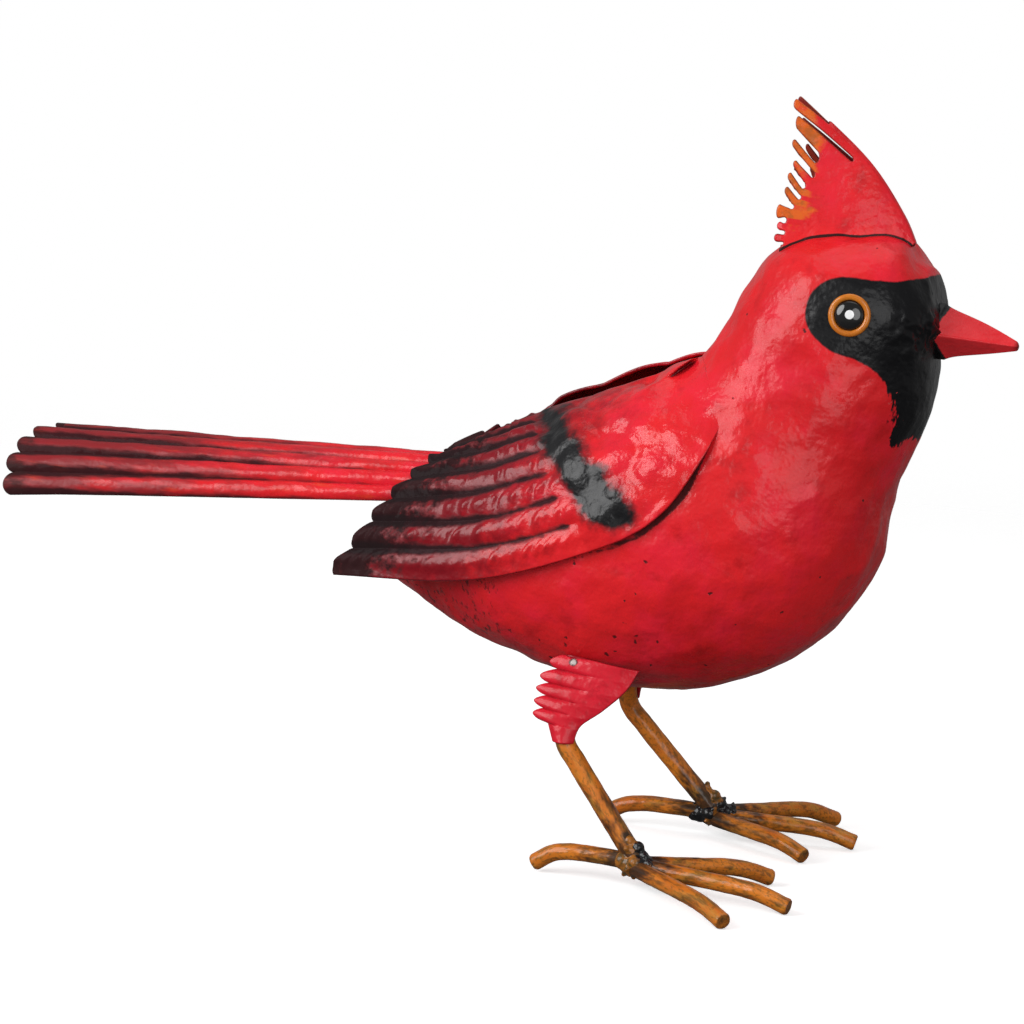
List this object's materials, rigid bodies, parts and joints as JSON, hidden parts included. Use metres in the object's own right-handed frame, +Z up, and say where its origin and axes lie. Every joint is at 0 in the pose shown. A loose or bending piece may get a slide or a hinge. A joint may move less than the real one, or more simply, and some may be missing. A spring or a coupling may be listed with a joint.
{
  "type": "sheet-metal garden bird statue",
  "caption": "Painted sheet-metal songbird statue with a pointed crest, dark mask, folded wings, arched ribbed tail and bent rod legs welded to splayed rod toes.",
  "frame": {"origin": "on the floor, under the middle of the statue's bounding box", "axes": "+X the way the beak points, +Y the bird's left side, +Z up"},
  "size_m": [0.322, 0.1586, 0.2409],
  "materials": {
    "red_enamel": "glossy hand-painted red enamel with a black mask and black wing and tail tips",
    "black_enamel": "high gloss",
    "ochre_enamel": "glossy ochre enamel",
    "rod_paint": "satin ochre-brown paint, weathered dark in places",
    "weld_steel": "glossy near-black weld bead"
  },
  "bodies": {
    "root": {"torso": "red_enamel", "head": "red_enamel", "beak": "red_enamel", "crest": "red_enamel", "tail": "red_enamel", "wing_right": "red_enamel", "wing_left": "red_enamel", "thigh_right": "red_enamel", "thigh_left": "red_enamel", "eye_ring_right": "ochre_enamel", "eye_ring_left": "ochre_enamel", "pupil_right": "black_enamel", "pupil_left": "black_enamel", "leg_right": "rod_paint", "leg_left": "rod_paint", "toe_outer_right": "rod_paint", "toe_outer_left": "rod_paint", "toe_middle_right": "rod_paint", "toe_middle_left": "rod_paint", "toe_inner_right": "rod_paint", "toe_inner_left": "rod_paint", "toe_hind_right": "rod_paint", "toe_hind_left": "rod_paint", "ankle_weld_right": "weld_steel", "ankle_weld_left": "weld_steel"}
  },
  "joints": []
}
